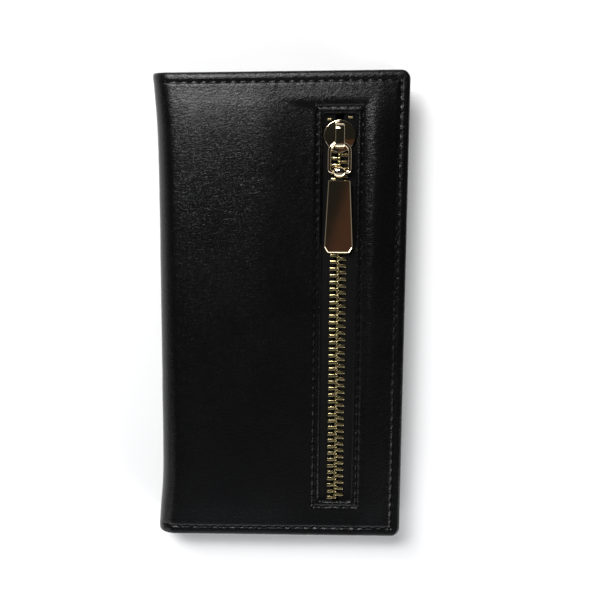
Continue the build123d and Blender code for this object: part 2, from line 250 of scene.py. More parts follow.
def outward(loop):
    """The direction out of the sheet at each point of a boundary loop."""
    along = np.roll(loop, -1, 0) - np.roll(loop, 1, 0)
    out = np.stack([along[:, 1], -along[:, 0]], 1)
    return out / np.linalg.norm(out, axis=1)[:, None]


def soft_sheet(name, xs, ys, place, depth, edge, corner=0.0, sides=(), hole=None, hole_corner=1.2):
    """A closed sheet. place(x, y, d) gives the point at depth d under the face, depth(x, y) the
    sheet's thickness and edge the radius of its rounded edges. hole is (x0, x1, y0, y1)."""
    grid_x, grid_y = np.meshgrid(xs, ys, indexing="ij")
    flat = np.stack([grid_x.ravel(), grid_y.ravel()], 1)
    rows, columns = len(xs), len(ys)
    number = np.arange(rows * columns).reshape(rows, columns)
    if corner:
        flat = rounded(flat, (xs[0], ys[0]), (xs[-1], ys[-1]), corner, sides)
    cell = np.ones((rows - 1, columns - 1), bool)
    loops = [np.concatenate([number[:, 0], number[-1, 1:], number[-2::-1, -1], number[0, -2:0:-1]])]
    if hole:
        i0, i1 = (int(np.argmin(abs(xs - h))) for h in hole[:2])
        j0, j1 = (int(np.argmin(abs(ys - h))) for h in hole[2:])
        cell[i0:i1, j0:j1] = False
        inner = [
            number[i0, j0 : j1 + 1],
            number[i0 + 1 : i1 + 1, j1],
            number[i1, j1 - 1 : j0 - 1 if j0 else None : -1],
            number[i1 - 1 : i0 : -1, j0],
        ]
        loop = np.concatenate(inner)
        middle = np.array([(xs[i0] + xs[i1]) / 2, (ys[j0] + ys[j1]) / 2])
        reach = np.array([(xs[i1] - xs[i0]) / 2, (ys[j1] - ys[j0]) / 2])
        away = flat[loop] - middle
        over = np.abs(away) - (reach - hole_corner)
        at_corner = (over > 0).all(1)
        length = np.maximum(np.linalg.norm(over, axis=1), 1e-9)
        target = (reach - hole_corner) + over * (hole_corner / length)[:, None]
        flat[loop[at_corner]] = (middle + np.sign(away) * target)[at_corner]
        loops.append(loop)
    keep_i, keep_j = np.nonzero(cell)
    quads = np.stack(
        [
            number[keep_i, keep_j],
            number[keep_i + 1, keep_j],
            number[keep_i + 1, keep_j + 1],
            number[keep_i, keep_j + 1],
        ],
        1,
    )
    total = rows * columns
    thick = depth(flat[:, 0], flat[:, 1])
    under = place(flat[:, 0], flat[:, 1], thick)
    points = [place(flat[:, 0], flat[:, 1], np.zeros(total)), under]
    flats = [flat, flat]
    faces = quads.tolist() + (quads[:, ::-1] + total).tolist()
    start = 2 * total
    for loop in loops:
        edge_flat, out = flat[loop], outward(flat[loop])
        edge_thick = thick[loop]
        previous = loop
        steps = [(math.sin(a), 1 - math.cos(a), 0) for a in (0.5, 1.05, math.pi / 2)]
        steps += [(math.sin(a), 1 - math.cos(a), 1) for a in (math.pi / 2, 2.09, 2.64)]
        for push, sink, low in steps:
            shifted = edge_flat + out * push * edge
            radius = np.minimum(edge, edge_thick / 2)
            level = radius * sink + low * (edge_thick - 2 * radius)
            points.append(place(shifted[:, 0], shifted[:, 1], level))
            flats.append(edge_flat + out * (push * edge + level)[:, None])
            ring = np.arange(start, start + len(loop))
            faces += ring_faces(previous, ring)
            previous = ring
            start += len(loop)
        faces += ring_faces(previous, loop + total)
    faces = [tuple(int(v) for v in face) for face in faces]
    points = np.concatenate(points)
    used = np.zeros(len(points), bool)
    used[np.array([v for face in faces for v in face])] = True
    new_number = np.cumsum(used) - 1
    faces = [tuple(int(new_number[v]) for v in face) for face in faces]
    return make_mesh(name, points[used], faces, np.concatenate(flats)[used])


def smooth(value):
    """Eases from 0 to 1."""
    value = np.clip(value, 0, 1)
    return value * value * (3 - 2 * value)


# %% [markdown]
# ## The cover
#
# A real cover is one sheet of smooth leather, about a millimetre thick, glued over stiff board
# and turned in at both ends and at the free edge. The thread line near the edge holds the turned
# hem and pulls the leather down into a shallow channel, so the strip outside it stands up as a
# rim. The sheet rolls round the spine with no seam. A grid bent by a place function gives all of
# this at once, because the fold, the slight cushion of the board, the pinch of the spine and the
# thread channels are all heights over the flat cut. Sculpting would give no exact seam lines.

# %% Where the flat cut goes
ARC = RADIUS * math.pi / 2
CUT_X0 = FLAT_X - ARC - (THICK / 2 - RADIUS)
BULGE = 1.3  # how far the spine stands out
PINCH = 2.0  # how far it draws in between its ends
SKEW = 0.02  # the slant of the end beside the zip's slider


def pinch(y):
    """How far the spine draws in between its ends, which stay full."""
    upper = 1 - np.exp(-(((HALF - y) / 17) ** 1.3))
    lower = 1 - np.exp(-(((HALF + y) / 17) ** 2.0))
    return PINCH * upper * lower


def cover_place(x, y, depth, height, front):
    """Bends the flat cut round the spine. height stands out of the face, depth goes into it."""
    level = height(x, y) - depth
    reach = RADIUS + level
    turn = np.clip((FLAT_X - x) / RADIUS, 0, math.pi / 2)
    past = np.maximum(FLAT_X - ARC - x, 0)
    out_x = np.where(x > FLAT_X, x, FLAT_X - reach * np.sin(turn))
    out_z = np.where(x > FLAT_X, THICK + level, THICK - RADIUS + reach * np.cos(turn) - past)
    drawn = smooth((-34 - out_x) / 14)
    out_x = out_x + (pinch(y) - BULGE) * drawn
    out_y = y + SKEW * x * smooth((y - 30) / 60)
    if not front:
        out_z = THICK - out_z
    return np.stack([out_x, out_y, out_z], 1)


# %% Heights of the outer face
STITCH = 3.75
SEAM_START = FOLD_X + 4.7
GROOVE, PUFF = 0.46, 0.07


def line_distance(x, y, horizontal, at, low, high):
    """Distance to a straight seam line, and the place along it."""
    across = (y if horizontal else x) - at
    along = x if horizontal else y
    beyond = np.maximum(np.maximum(low - along, along - high), 0)
    return np.hypot(across, beyond), along


def channel(x, y, seam):
    """The channel that a thread line pulls into the leather, deeper under each stitch."""
    distance, along = line_distance(x, y, *seam)
    low, high = seam[2:]
    step = (high - low) / max(1, round((high - low) / STITCH))
    under = 0.68 - 0.32 * np.cos((along - low) * 2 * math.pi / step)
    groove = -GROOVE * np.exp(-((distance / 0.6) ** 2)) * under
    return groove + PUFF * np.exp(-(((distance - 1.4) / 0.7) ** 2)) * (1.3 - under)


EDGE_SEAMS = [
    (True, SEAM_Y, SEAM_START, SEAM_X),
    (True, -SEAM_Y, SEAM_START - 3, SEAM_X),
    (False, SEAM_X, -SEAM_Y, SEAM_Y),
]
WINDOW_SEAM = 1.75
SEAM_X0, SEAM_X1 = WIN_X0 - WINDOW_SEAM, WIN_X1 + WINDOW_SEAM
SEAM_Y0, SEAM_Y1 = WIN_Y0 - WINDOW_SEAM, WIN_Y1 + WINDOW_SEAM + 0.5
WINDOW_SEAMS = [(True, y, SEAM_X0, SEAM_X1) for y in (SEAM_Y1, SEAM_Y0)]
WINDOW_SEAMS += [(False, x, SEAM_Y0, SEAM_Y1) for x in (SEAM_X0, SEAM_X1)]


def waves(x, y, seed):
    """Slow, shallow unevenness of a hide that is glued by hand, from a few crossed waves."""
    draw = random.Random(seed)
    total = np.zeros(np.broadcast(x, y).shape)
    for _ in range(7):
        angle, length = draw.uniform(0, math.pi), draw.uniform(16, 46)
        phase, weight = draw.uniform(0, 6.28), draw.uniform(0.5, 1.0)
        along = x * math.cos(angle) + y * math.sin(angle)
        total = total + weight * np.sin(along * 2 * math.pi / length + phase)
    return total / 5


def edge_distance(x, y):
    """Distance to the free edge or to the nearer end."""
    return np.minimum(FREE_X - x, HALF - np.abs(y))


RISE, RISE_END, EASE = 0.11, 11, 8


def front_height(x, y):
    """The front cover's face over its flat level. It rises from each end and levels off, and
    lies lower beside the zip."""
    edge = edge_distance(x, y)
    end = np.maximum(HALF - np.abs(y), 0)
    past = 1 - np.exp(-(end - RISE_END) / EASE)
    slope = np.where(end < RISE_END, end * RISE, RISE * (RISE_END + EASE * past))
    across = smooth((17 - x) / 27)
    across = np.maximum(across, 0.75 * smooth((y - 79) / 6))
    across = np.maximum(across, 0.8 * smooth((x - 30.5) / 6))
    cushion = slope * (0.12 + 0.88 * across)
    cushion = cushion * smooth((x - CUT_X0) / 24) * smooth((FREE_X - x) / 14)
    height = cushion + 0.035 * waves(x, y, 3) * smooth(edge / 6)
    for seam in EDGE_SEAMS + WINDOW_SEAMS:
        height = height + channel(x, y, seam)
    away_x = np.maximum(np.maximum(WIN_X0 - x, x - WIN_X1), 0)
    away_y = np.maximum(np.maximum(WIN_Y0 - y, y - WIN_Y1), 0)
    height = height + 0.10 * np.exp(-(((np.hypot(away_x, away_y) - 0.7) / 0.8) ** 2))
    return height + 0.08 * np.exp(-(((edge - 1.9) / 1.3) ** 2))


def back_height(x, y):
    """The back cover's face: it lies on the table, so it only goes inwards."""
    height = -0.10 * np.exp(-((edge_distance(x, y) / 2.2) ** 2))
    for seam in EDGE_SEAMS:
        height = height + np.minimum(channel(x, y, seam), 0)
    return np.minimum(height - 0.02 - 0.015 * np.abs(waves(x, y, 5)), 0)


def cover_depth(x, y):
    """The cover is thick at its turned hem and a single sheet of leather inside it."""
    hem = 1 - smooth((edge_distance(x, y) - HEM + 0.8) / 0.8)
    return LEATHER + (INSIDE - LEATHER) * hem * smooth((x - FLAT_X + 2) / 2)


# %% Cut and bend the two covers
ROLL = 1.0  # the radius of the cover's turned edge
LIP = 0.55  # how far the window's edge stands back from the window
LIP_X, LIP_Y = (WIN_X0 - LIP, WIN_X1 + LIP), (WIN_Y0 - LIP, WIN_Y1 + LIP)
FINE, MIDDLING = (1.2, 0.24), (0.6, 0.3)  # reach and step of the finer lines at a seam or a lip
XS = lines(
    CUT_X0,
    FREE_X - ROLL,
    1.0,
    [(FREE_X - 2.2, 1.2, 0.4)]
    + [(at, *FINE) for at in (SEAM_X, SEAM_X0, SEAM_X1)]
    + [(at, *MIDDLING) for at in LIP_X],
)
YS = lines(
    ROLL - HALF,
    HALF - ROLL,
    0.94,
    [(at, *FINE) for at in (-SEAM_Y, SEAM_Y, SEAM_Y1, SEAM_Y0)]
    + [(at, *MIDDLING) for at in reversed(LIP_Y)],
)


def front_place(x, y, depth):
    return cover_place(x, y, depth, front_height, True)


def back_place(x, y, depth):
    return cover_place(x, y, depth, back_height, False)


def cover(name, place, **window):
    """A cover with round corners at its free edge."""
    sides = ((1, 1), (1, -1))
    return soft_sheet(name, XS, YS, place, cover_depth, ROLL, corner=2.6, sides=sides, **window)


front_cover = cover("front_cover", front_place, hole=(*LIP_X, *LIP_Y), hole_corner=2.2)
back_cover = cover("back_cover", back_place)
print("cover points", len(front_cover.data.vertices), len(back_cover.data.vertices))

# %% Tie a piece to its body, or bake a piece that lies on a fold
FOLDS = {
    "front_fold": ("spine", "front", (FOLD_X, 0, THICK - RADIUS), (FLAT_X, 0, THICK)),
    "back_fold": ("back", "spine", (FLAT_X, 0, 0), (FOLD_X, 0, RADIUS)),
}


def dress(piece, body, slot, *nodes):
    """A piece rides on its body. A piece on a fold only has its place baked into its points, and
    rides on no body. It stands for its plain nodes, which are hidden. slot is not used."""
    if body in FOLDS:
        first, second, start, end = FOLDS[body]
        start, end = (tuple(v * MM for v in place) for place in (start, end))
        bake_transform(piece)
        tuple(start)
        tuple(end)
    else:
        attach(piece, body)
    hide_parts(*nodes)
    return piece


dress(front_cover, "front_fold", "cover_leather", "front_cover_leather", "spine_leather")
dress(back_cover, "back_fold", "cover_leather", "back_cover_leather")


# %% [markdown]
# ## Stitching
#
# A machine seam shows as a row of short threads that lie in the channel and dive into a hole at
# each end. They are real little tubes here. A painted line would look flat as soon as the light
# runs along the seam. Each thread is a touch slanted, as a lock stitch is.


# %% Threads
SIDES, SECTIONS = 6, 7


def thread_line(runs, place, radius=0.26, lift=0.12, slant=0.10):
    """The points and faces of one seam. runs are (horizontal, at, low, high) lines."""

    def spot(x, y, depth):
        return place(np.array([x]), np.array([y]), np.array([depth]))[0]

    def unit(vector):
        return vector / max(np.linalg.norm(vector), 1e-9)

    points, faces, flats = [], [], []
    for horizontal, at, low, high in runs:
        count = max(1, int(round((high - low) / STITCH)))
        step = (high - low) / count
        for index in range(count):
            middle = low + (index + 0.5) * step
            start = len(points)
            for k in range(SECTIONS):
                t = k / (SECTIONS - 1)
                along = middle + (t - 0.5) * step * 0.86
                across = at + slant * (t - 0.5) * 2
                x, y = (along, across) if horizontal else (across, along)
                sink = 0.06 + 0.42 * abs(2 * t - 1) ** 3 - lift
                centre = spot(x, y, sink)
                aside = spot(x, y + 0.1, sink) if horizontal else spot(x + 0.1, y, sink)
                side = unit(aside - centre)
                up = unit(centre - spot(x, y, sink + 0.1))
                size = radius * (0.35 + 0.65 * math.sqrt(max(0.0, 1 - abs(2 * t - 1) ** 4)))
                for s in range(SIDES):
                    angle = 2 * math.pi * s / SIDES
                    offset = side * math.cos(angle) * size + up * math.sin(angle) * size * 0.8
                    points.append(centre + offset)
                    flats.append((along, s * radius))
            rings = np.arange(start, len(points)).reshape(SECTIONS, SIDES).tolist()
            faces += skin_faces(rings)
    return points, faces, flats


def seam(name, runs, place, body, node, **finish):
    """A seam as one piece that stands for its plain node."""
    piece = make_mesh(name, *thread_line(runs, place, **finish))
    print(name, "threads", len(piece.data.vertices) // (SIDES * SECTIONS))
    return dress(piece, body, "thread", node)


seams = [
    seam("front_edge_seam", EDGE_SEAMS, front_place, "front_fold", "front_edge_stitching"),
    seam("back_edge_seam", EDGE_SEAMS, back_place, "back_fold", "back_edge_stitching", lift=0.0),
    seam("window_seam", WINDOW_SEAMS, front_place, "front", "zip_window_stitching"),
]


# %% [markdown]
# ## Inside: linings, pockets and card leaves
#
# The pockets are thin leather sheets laid one over the other and caught by the edge seams, so
# they lie close together at the edges and ride up over the coin pocket in the middle. Each sheet
# follows the same swell, a little further out than the one under it. The mouth of each pocket
# has a creased line beside its edge, as a pocket maker would press it.

# %% Sheets that lie in the covers
INNER_X, INNER_HALF = box_mm("back_bill_pocket")[1][:2]
CREASE = 1.3
BACK_SEED, FRONT_SEED = 16, 1


def even_sheet(name, low, high, place, thick, edge, inset, steps, dense=((), ())):
    """A sheet of one thickness, cut a little inside a box. inset and steps are for x and y."""
    xs = lines(low[0] + inset[0], high[0] - inset[0], steps[0], dense[0])
    ys = lines(low[1] + inset[1], high[1] - inset[1], steps[1], dense[1])
    return soft_sheet(name, xs, ys, place, lambda x, y: np.full(len(x), thick), edge)


def swell(x, y, near_fold):
    """0 at the sewn edges, 1 over the middle of a panel."""
    edge = np.minimum(INNER_X - x, INNER_HALF - np.abs(y))
    side = smooth((x - near_fold) / 7)
    return smooth(edge / 11) * side


def pocket_sheet(node, squeeze):
    """A pocket sheet in the place of its node, pressed together with its neighbours at the edges.
    squeeze is how much of its rise it keeps there."""
    low, high = box_mm(node)
    body = node.split("_")[0]
    if body == "front":
        sign, face, hem_level, seed = -1, low[2], THICK - INSIDE, FRONT_SEED
    else:
        sign, face, hem_level, seed = 1, high[2], INSIDE, BACK_SEED
    thick = 0.8 if "bill" in node or "panel" in node else 0.45
    crease = "panel" not in node
    rise = abs(face - hem_level)

    def place(x, y, depth):
        level = rise * (squeeze + (1 - squeeze) * swell(x, y, FLAT_X - 4))
        press = 0.12 * np.exp(-(((x - low[0] - CREASE) / 0.35) ** 2)) * crease
        slack = 0.06 * waves(x, y, seed) * smooth((22 - (x - low[0])) / 22)
        return np.stack([x, y, hem_level + sign * (level - press + slack - depth)], 1)

    dense = ([(low[0] + CREASE, 0.9, 0.3)], [(0, 1.2, 0.4)])
    piece = even_sheet(
        node + "_sheet", low, high, place, thick, 0.2, (0.2, 0.2), (2.2, 2.6), dense
    )
    return dress(piece, body, "inner_leather", node), place


SQUEEZES = {"back_bill_pocket": 0.55}
SQUEEZES.update({f"back_card_slot_{k}": 0.60 for k in (1, 2, 3, 4)})
SQUEEZES.update({"front_inner_panel": 0.06, "front_bill_pocket": 0.16})
SQUEEZES.update({f"front_card_slot_{k}": 0.19 + 0.04 * k for k in (1, 2)})
pockets = {node: pocket_sheet(node, squeeze) for node, squeeze in SQUEEZES.items()}
print("inner sheets", len(pockets))

# %% Seams down the middle of the card leaves, and round the inside edges
MARGIN = 2.0
for body, top_leaf in (("back", "back_card_slot_4"), ("front", "front_card_slot_2")):
    node = body + "_column_stitching"
    low, high = box_mm(node)
    reach_x, reach_y = INNER_X - MARGIN, INNER_HALF - MARGIN
    runs = [(True, 0.0, low[0], high[0])]
    runs += [(True, side * reach_y, low[0], reach_x) for side in (-1, 1)]
    runs += [(False, reach_x, -reach_y, reach_y)]
    place = pockets[top_leaf][1]
    seams.append(seam(body + "_inner_seam", runs, place, body, node, radius=0.2, lift=0.15))

# %% Linings and padding
lining_low, lining_high = box_mm("back_lining")


def lining_place(x, y, depth):
    level = lining_high[2] + 0.05 * waves(x, y, 9) * swell(x, y, FLAT_X) - depth
    return np.stack([x, y, np.minimum(level, lining_high[2])], 1)


back_lining = even_sheet(
    "back_lining_cloth", lining_low, lining_high, lining_place, 0.3, 0.15, (0.15, 0.15), (3, 3)
)
dress(back_lining, "back", "lining_fabric", "back_lining")

padding_low, padding_high = box_mm("back_cover_padding")


def padding_place(x, y, depth):
    side = np.minimum(x - padding_low[0], padding_high[0] - x)
    edge = np.minimum(side, padding_high[1] - np.abs(y))
    level = padding_high[2] - 0.2 * (1 - smooth(edge / 3)) - depth
    return np.stack([x, y, level], 1)


padding = even_sheet(
    "back_padding", padding_low, padding_high, padding_place, 0.2, 0.1, (0.1, 0.1), (3, 3)
)
dress(padding, "back", "padding", "back_cover_padding")


# %% The spine's lining
def spine_lining_half(body):
    """It lies just inside the leather and bends with it, so it has two halves."""
    front = body == "front"

    def place(x, y, depth):
        return cover_place(x, y, depth + LEATHER + 0.05, lambda a, b: np.zeros(len(a)), front)

    low, high = (CUT_X0, -HALF), (FLAT_X, HALF)
    piece = even_sheet(
        body + "_spine_lining", low, high, place, 0.35, 0.15, (0, 1.2), (0.9, 2.4)
    )
    return dress(piece, body + "_fold", "lining_fabric", "spine_lining")


spine_linings = [spine_lining_half("front"), spine_lining_half("back")]
print("linings", back_lining.name, [o.name for o in spine_linings])

# %% The coin pocket's bag
bag_low, bag_high = box_mm("coin_pocket_bag")
MOUTH = 0.4


def bag_surface():
    """Two soft walls that meet in a rounded edge. The upper one is open under the zip."""
    xs = lines(bag_low[0], bag_high[0], 2.4, [(WIN_X0, 1.0, 0.5), (WIN_X1, 1.0, 0.5)])
    ys = lines(bag_low[1], bag_high[1], 2.4)
    grid_x, grid_y = np.meshgrid(xs, ys, indexing="ij")
    x, y = grid_x.ravel(), grid_y.ravel()
    side = np.minimum(x - bag_low[0], bag_high[0] - x)
    edge = np.minimum(side, bag_high[1] - np.abs(y))
    full = np.sqrt(np.clip(1 - (1 - np.clip(edge / 9, 0, 1)) ** 2, 0, 1))
    top_z = bag_high[2] - MOUTH - 0.6 * (1 - full)
    low_z = top_z - (top_z - bag_low[2] - MOUTH) * full + 0.25 * waves(x, y, 12) * full
    low_z = np.maximum(low_z, bag_low[2] + MOUTH)
    number = np.arange(len(x)).reshape(len(xs), len(ys))
    points = np.concatenate([np.stack([x, y, top_z], 1), np.stack([x, y, low_z], 1)])
    faces = []
    total = len(x)
    for i in range(len(xs) - 1):
        for j in range(len(ys) - 1):
            quad = [number[i, j], number[i + 1, j], number[i + 1, j + 1], number[i, j + 1]]
            middle_x, middle_y = (xs[i] + xs[i + 1]) / 2, (ys[j] + ys[j + 1]) / 2
            if not (WIN_X0 < middle_x < WIN_X1 and WIN_Y0 - 2 < middle_y < WIN_Y1 + 1):
                faces.append(tuple(int(q) for q in quad))
            faces.append(tuple(int(q) + total for q in reversed(quad)))
    return points, faces


bag = make_mesh("coin_bag", *bag_surface())
weld = bag.modifiers.new("edges", "WELD")
weld.merge_threshold = 0.02 * MM
wall = bag.modifiers.new("cloth_thickness", "SOLIDIFY")
wall.thickness = MOUTH * 0.8 * MM
wall.offset = -1
dress(bag, "front", "lining_fabric", "coin_pocket_bag")
print("bag points", len(bag.data.vertices))


# %% [markdown]
# ## The zip
#
# A metal zip has two woven tapes with a corded edge, and a row of teeth clamped on each cord.
# Every tooth has a broad root that grips the cord and a narrow head with a bump that locks
# behind its neighbours. The heads of the two rows take turns, so the right row stands half a
# pitch further along. Inside the slider the rows are wedged apart, which is why the last few
# teeth near its nose spread.

# %% Tapes
tape_low, tape_high = box_mm("zip_tape_left")
PITCH = 2.74
TAPE_Z = (tape_low[2] + tape_high[2]) / 2
TAPE_EDGE = ZIP_X - tape_high[0]


def tape_piece(name, cord_side):
    """A woven tape. cord_side is 0 or 1, for the corner of its box where its corded edge lies."""
    node = "zip_tape_" + name
    low, high = box_mm(node)

    def place(x, y, depth):
        inner = np.abs(x - ZIP_X) - TAPE_EDGE
        cord = 0.16 * np.exp(-(((inner - 0.55) / 0.5) ** 2))
        ripple = 0.05 * np.sin(y * 2 * math.pi / PITCH) * np.exp(-((inner / 2.5) ** 2))
        z = TAPE_Z + ripple + (0.2 + cord) * (1 - 2 * depth / 0.4)
        return np.stack([x, y, z], 1)

    cord_x = high[0] - 0.8 if cord_side else low[0] + 0.8
    dense = ([(cord_x, 0.9, 0.3)], ())
    piece = even_sheet(node + "_cloth", low, high, place, 0.4, 0.15, (0.15, 0), (0.9, 0.9), dense)
    return dress(piece, "front", "zip_tape", node)


tapes = [tape_piece("left", 1), tape_piece("right", 0)]
print("tapes", [o.name for o in tapes])

# %% Teeth
teeth_low, teeth_high = box_mm("zip_teeth_left")
slider_low, slider_high = box_mm("zip_slider_body")
SLIDER_Y = (slider_low[1] + slider_high[1]) / 2
TOOTH_THICK = 1.2
FIRST_TOOTH = teeth_low[1] + TOOTH_THICK / 2
TOOTH_COUNT = int(round((teeth_high[1] - teeth_low[1] - TOOTH_THICK) / PITCH)) + 1
# Across a tooth from its head to its root: place, half thickness along the zip, half height.
TOOTH_PROFILE = [
    (-0.66, 0.30, 0.50),
    (-0.48, 0.50, 0.86),
    (-0.15, 0.58, 1.02),
    (0.30, 0.56, 0.98),
    (0.58, 0.50, 0.86),
    (0.74, 0.60, 1.06),
    (0.92, 0.64, 1.20),
    (3.05, 0.64, 1.20),
    (3.24, 0.60, 1.12),
    (3.35, 0.48, 0.95),
]


SPREAD = 1.85


def tooth_shift(y):
    """How far the rows are pushed apart inside and above the slider."""
    start, throat = SLIDER_Y - 4.05, SLIDER_Y + 1.85
    return SPREAD * smooth((y - start) / (throat - start)) + max(y - throat, 0) * 0.12


def rounded_section(half_y, half_z, steps=3):
    """A rectangle with round corners, as (y, z) points."""
    radius = min(half_y, half_z) * 0.32
    points = []
    for quarter in range(4):
        sign_y = 1 if quarter in (0, 3) else -1
        sign_z = 1 if quarter in (0, 1) else -1
        for k in range(steps):
            angle = (quarter + k / (steps - 1)) * math.pi / 2
            points.append(
                (
                    sign_y * (half_y - radius) + radius * math.cos(angle),
                    sign_z * (half_z - radius) + radius * math.sin(angle),
                )
            )
    return points


def tooth_row(side):
    """One row of teeth. Each is a skin over its profile's sections, turned along the row."""
    points, faces = [], []
    for index in range(TOOTH_COUNT):
        y = FIRST_TOOTH + index * PITCH + (PITCH / 2 if side > 0 else 0)
        middle = ZIP_X + side * tooth_shift(y)
        lean = math.atan(tooth_shift(y + 0.5) - tooth_shift(y - 0.5)) * 0.8
        rings = []
        for across, half_y, half_z in TOOTH_PROFILE:
            ring = []
            for along, up in rounded_section(half_y, half_z):
                turned_x = across * math.cos(lean) + along * math.sin(lean)
                turned_y = along * math.cos(lean) - across * math.sin(lean)
                ring.append(len(points))
                points.append((middle + side * turned_x, y + turned_y, TAPE_Z + up))
            rings.append(ring if side > 0 else ring[::-1])
        faces += skin_faces(rings)
    return points, faces


teeth = []
for side, name in ((-1, "left"), (1, "right")):
    row = make_mesh(f"teeth_{name}", *tooth_row(side), crisp=32)
    teeth.append(dress(row, "front", "zip_metal", f"zip_teeth_{name}"))
print("teeth a side", TOOTH_COUNT)


# %% [markdown]
# ## Stops, slider and pull
#
# The slider is a casting of two plates joined by a wedge at the nose, with low walls that close
# the rows together. A strap of the same metal is riveted over it, and the pull's wire link turns
# under the strap. These parts are polished and plated, so their whole look is in how an edge
# catches the light. Each is a skin over a stack of outlines that shrink and lift towards the
# top face, which makes the rolled edge a true surface.


# %% Skins over stacked outlines
CRISP = 24


def stacked(name, outline, layers, place=None):
    """Closes a skin over copies of an outline. layers are (inset, height) pairs from the
    underside to the top. Each inset moves every point towards the inside of the outline."""
    outline = np.asarray(outline, float)
    inward = -outward(outline)
    points, rings = [], []
    for inset, height in layers:
        flat = outline + inward * inset
        rings.append(list(range(len(points), len(points) + len(flat))))
        points += [(x, y, height) for x, y in flat]
    if place:
        points = [place(*p) for p in points]
    return make_mesh(name, points, skin_faces(rings))


def merged(name, pieces):
    """Joins a few skins of one casting into one piece."""
    points, faces = [], []
    for piece in pieces:
        start = len(points)
        points += [tuple(v.co / MM) for v in piece.data.vertices]
        faces += [tuple(v + start for v in p.vertices) for p in piece.data.polygons]
        bpy.data.objects.remove(piece)
    return make_mesh(name, points, faces, crisp=CRISP)


def slider_outline(radius, count=72):
    """A disc that narrows a little towards its tail, anticlockwise, round the slider's middle."""
    points = []
    for k in range(count):
        angle = 2 * math.pi * k / count
        x, y = radius * math.cos(angle), radius * math.sin(angle)
        if y < 1.0:
            x *= 1 - 0.17 * smooth((1.0 - y) / (radius + 1.0))
        points.append((ZIP_X + x, SLIDER_Y + y))
    return points


# %% Slider body
bridge_low, bridge_high = box_mm("zip_slider_bridge")
SLIDER_RADIUS = (slider_high[1] - slider_low[1]) / 2
PLATE_TOP = bridge_low[2]
PLATE_THICK = 1.15
TOP_LOW = PLATE_TOP - PLATE_THICK
BOTTOM_LOW = slider_low[2]
top_plate = stacked(
    "top_plate",
    slider_outline(SLIDER_RADIUS),
    [
        (0.35, TOP_LOW),
        (0.08, TOP_LOW + 0.08),
        (0.0, TOP_LOW + 0.3),
        (0.0, PLATE_TOP - 0.26),
        (0.05, PLATE_TOP - 0.12),
        (0.14, PLATE_TOP - 0.03),
        (0.26, PLATE_TOP),
    ],
)
bottom_plate = stacked(
    "bottom_plate",
    slider_outline(SLIDER_RADIUS - 0.4),
    [
        (0.5, BOTTOM_LOW),
        (0.12, BOTTOM_LOW + 0.12),
        (0.0, BOTTOM_LOW + 0.4),
        (0.0, BOTTOM_LOW + PLATE_THICK - 0.2),
        (0.2, BOTTOM_LOW + PLATE_THICK),
    ],
)


def side_wall(side, low, high):
    """A low wall along one side of a plate, open at the tail and the nose."""
    edge = slider_outline(SLIDER_RADIUS - 0.05, 144)
    run = [p for p in edge if side * (p[0] - ZIP_X) > 3.9 and -5.4 < p[1] - SLIDER_Y < 1.1]
    run = sorted(run, key=lambda p: p[1])
    inner = [(p[0] - side * 0.5, p[1]) for p in run]
    loop = run + inner[::-1]
    if side < 0:
        loop = loop[::-1]
    inset = 0.08
    return stacked("wall", loop, [(inset, low), (0.0, low + inset), (0.0, high)])


BOTTOM_TOP = BOTTOM_LOW + PLATE_THICK
walls = [side_wall(s, TOP_LOW - 0.85, TOP_LOW + 0.1) for s in (-1, 1)]
walls += [side_wall(s, BOTTOM_TOP - 0.1, BOTTOM_TOP + 0.8) for s in (-1, 1)]
wedge_outline = [(0, 1.6), (0.55, 2.4), (0.95, 3.5), (0.85, 4.6), (0.45, 5.5)]
wedge_outline += [(-x, y) for x, y in wedge_outline[:0:-1]]
wedge = stacked(
    "wedge",
    [(ZIP_X + x, SLIDER_Y + y) for x, y in wedge_outline],
    [(0, BOTTOM_LOW + 0.5), (0, TOP_LOW + 0.5)],
)
slider_body = merged("slider_casting", [top_plate, bottom_plate, wedge] + walls)
dress(slider_body, "slider", "slider_gold", "zip_slider_body")


# %% Swept bars
def swept(name, path, section, closed=False, up=(1, 0, 0)):
    """A skin along a path. section is (half width along up, half thickness, roundness)."""
    half_w, half_t, power = section
    path = np.asarray(path, float)
    up = np.asarray(up, float)
    if closed:
        along = np.roll(path, -1, 0) - np.roll(path, 1, 0)
    else:
        along = np.gradient(path, axis=0)
    along /= np.linalg.norm(along, axis=1)[:, None]
    points, faces, rings = [], [], []
    for k, centre in enumerate(path):
        normal = np.cross(along[k], up)
        normal /= np.linalg.norm(normal)
        ring = []
        for s in range(16):
            angle = 2 * math.pi * s / 16
            c, d = math.cos(angle), math.sin(angle)
            offset_w = math.copysign(abs(c) ** power, c) * half_w
            offset_t = math.copysign(abs(d) ** power, d) * half_t
            ring.append(len(points))
            points.append(centre + up * offset_w + normal * offset_t)
        rings.append(ring)
    pairs = list(zip(rings, rings[1:])) + ([(rings[-1], rings[0])] if closed else [])
    for first, second in pairs:
        faces += ring_faces(second, first)
    if not closed:
        faces.append(tuple(rings[0]))
        faces.append(tuple(reversed(rings[-1])))
    return make_mesh(name, points, faces)


def arc_path(corners, radii, steps=8):
    """A path through corner points in a plane, with each corner rounded by its radius."""
    corners = [np.asarray(c, float) for c in corners]
    out = [corners[0]]
    for before, corner, after, radius in zip(corners, corners[1:], corners[2:], radii):
        to_before = (before - corner) / np.linalg.norm(before - corner)
        to_after = (after - corner) / np.linalg.norm(after - corner)
        half = math.acos(np.clip(to_before @ to_after, -1, 1)) / 2
        reach = radius / math.tan(half)
        middle = corner + (to_before + to_after) / (2 * math.cos(half)) * (radius / math.sin(half))
        first, last = corner + to_before * reach, corner + to_after * reach
        for k in range(steps + 1):
            t = k / steps
            guess = first * (1 - t) + last * t - middle
            out.append(middle + guess / np.linalg.norm(guess) * radius)
    out.append(corners[-1])
    return np.array(out)


